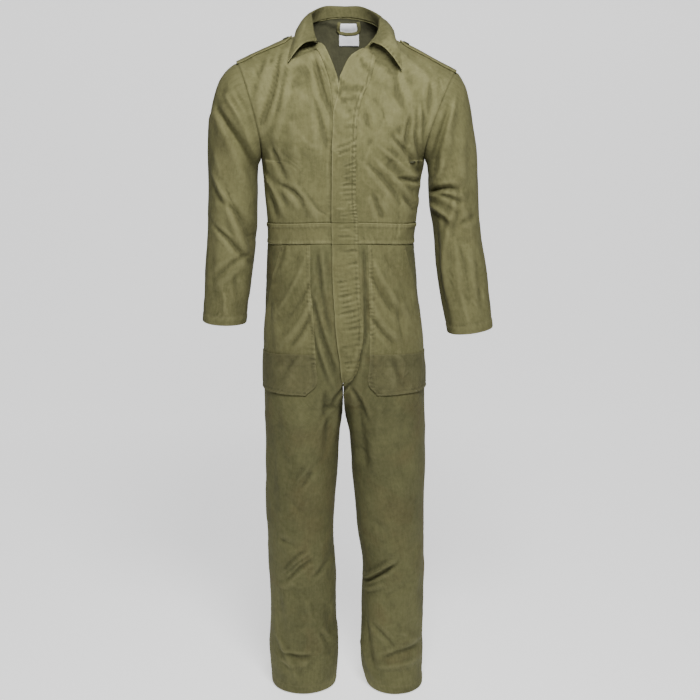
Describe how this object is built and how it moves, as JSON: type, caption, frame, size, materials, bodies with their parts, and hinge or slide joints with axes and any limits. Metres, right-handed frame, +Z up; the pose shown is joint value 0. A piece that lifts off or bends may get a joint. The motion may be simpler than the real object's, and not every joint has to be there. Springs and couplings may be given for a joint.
{
  "type": "boiler suit",
  "caption": "Long-sleeved boiler suit in olive cotton, filled out as if worn, with an open spread collar, covered fly, waistband, shoulder straps and deep hip patch pockets",
  "frame": {"origin": "between the shoulders at the base of the neck, where the wearer holds the suit up", "axes": "+Z up along the suit, the front faces -Y, +X toward the wearer's left"},
  "size_m": [0.673, 0.2689, 1.6267],
  "materials": {
    "cloth": "washed olive cotton twill",
    "button": "moulded dark green",
    "label": "plain white woven tape"
  },
  "bodies": {
    "root": {"back": "cloth", "front_right": "cloth", "front_left": "cloth", "sleeve_right": "cloth", "sleeve_left": "cloth", "collar": "cloth", "strap_right": "cloth", "strap_left": "cloth", "strap_button_right": "button", "strap_button_left": "button", "waistband_right": "cloth", "waistband_left": "cloth", "waistband_back": "cloth", "leg_front_right": "cloth", "leg_front_left": "cloth", "leg_back_right": "cloth", "leg_back_left": "cloth", "fly_upper": "cloth", "fly_waist": "cloth", "fly_lower": "cloth", "button_stand": "cloth", "pocket_right": "cloth", "pocket_left": "cloth", "pocket_patch_right": "cloth", "pocket_patch_left": "cloth", "label": "label", "hanger_loop": "cloth"}
  },
  "joints": []
}
